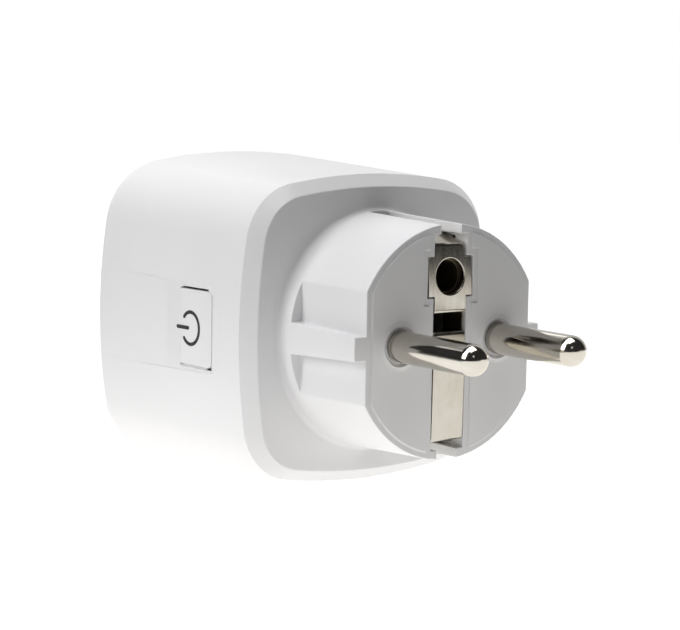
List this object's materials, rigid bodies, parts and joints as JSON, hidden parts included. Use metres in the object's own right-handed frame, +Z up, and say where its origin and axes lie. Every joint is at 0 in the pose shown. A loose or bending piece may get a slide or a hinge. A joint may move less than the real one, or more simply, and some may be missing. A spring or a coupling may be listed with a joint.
{
  "type": "smart plug",
  "caption": "Plug-in smart switch: hybrid round-pin plug on a boss, square tapered body, recessed socket and a side push-button.",
  "frame": {"origin": "centre of the plug's engagement face, midway between the two pins", "axes": "+Y along the pins, away from the body; +Z up, towards the earth hole; +X towards the push-button"},
  "size_m": [0.052, 0.0809, 0.052],
  "materials": {
    "shell_white": "satin moulded polycarbonate",
    "base_white": "satin moulded polycarbonate",
    "well_white": "satin moulded",
    "inner_white": "moulded, unpolished",
    "button_white": "satin moulded",
    "shutter_white": "smooth, low friction",
    "spring_steel": "drawn wire",
    "contact_bronze": "tin-plated phosphor bronze",
    "pin_nickel": "polished nickel plate",
    "earth_nickel": "satin nickel plate",
    "clip_nickel": "satin nickel plate, spring temper",
    "switch_black": "moulded",
    "board_green": "solder mask over glass laminate",
    "relay_blue": "moulded case",
    "capacitor_yellow": "cast box",
    "chip_black": "moulded epoxy",
    "can_black": "shrink sleeve",
    "choke_sleeve": "shrink sleeve",
    "fuse_brown": "moulded",
    "varistor_blue": "dipped epoxy",
    "shunt_alloy": "resistance alloy",
    "shield_tin": "tinned sheet",
    "led_clear": "clear lens",
    "screw_steel": "zinc-plated steel"
  },
  "bodies": {
    "housing": {"housing_shell": "shell_white", "plug_base": "base_white", "socket_well": "well_white", "shutter_cover": "inner_white", "shutter_spring": "spring_steel", "line_contact": "contact_bronze", "neutral_contact": "contact_bronze", "line_pin": "pin_nickel", "neutral_pin": "pin_nickel", "plug_earth_upper": "earth_nickel", "plug_earth_lower": "earth_nickel", "earth_sleeve": "earth_nickel", "earth_link": "earth_nickel", "socket_earth_clip_top": "clip_nickel", "socket_earth_clip_bottom": "clip_nickel", "tact_switch": "switch_black", "main_board": "board_green", "control_board": "board_green", "relay": "relay_blue", "film_capacitor": "capacitor_yellow", "rectifier": "chip_black", "meter_chip": "chip_black", "bulk_capacitor": "can_black", "supply_choke": "choke_sleeve", "fuse": "fuse_brown", "varistor": "varistor_blue", "current_shunt": "shunt_alloy", "radio_shield": "shield_tin", "board_header": "chip_black", "status_led": "led_clear", "board_screws": "screw_steel", "cover_screws": "screw_steel"},
    "button": {"power_button": "button_white"},
    "plunger": {"switch_plunger": "switch_black"},
    "rotor": {"shutter": "shutter_white"}
  },
  "joints": [
    {"name": "button_press", "type": "hinge", "parent": "housing", "child": "button", "pos_m": [0.02343, -0.04061, 0], "axis": [0, 0, 1], "range_deg": [0, 1.8], "stiffness_Nm_per_rad": 0.01},
    {"name": "plunger_travel", "type": "slide", "parent": "housing", "child": "plunger", "axis": [-1, 0, 0], "range_m": [0, 0.00034]},
    {"name": "shutter_turn", "type": "hinge", "parent": "housing", "child": "rotor", "pos_m": [0, -0.0416, 0], "axis": [0, 1, 0], "range_deg": [0, 46], "stiffness_Nm_per_rad": 0.002, "deforming": ["shutter_spring"]}
  ],
  "couplings": [
    {"joint": "plunger_travel", "follows": "button_press", "m_per_rad": 0.01042}
  ]
}
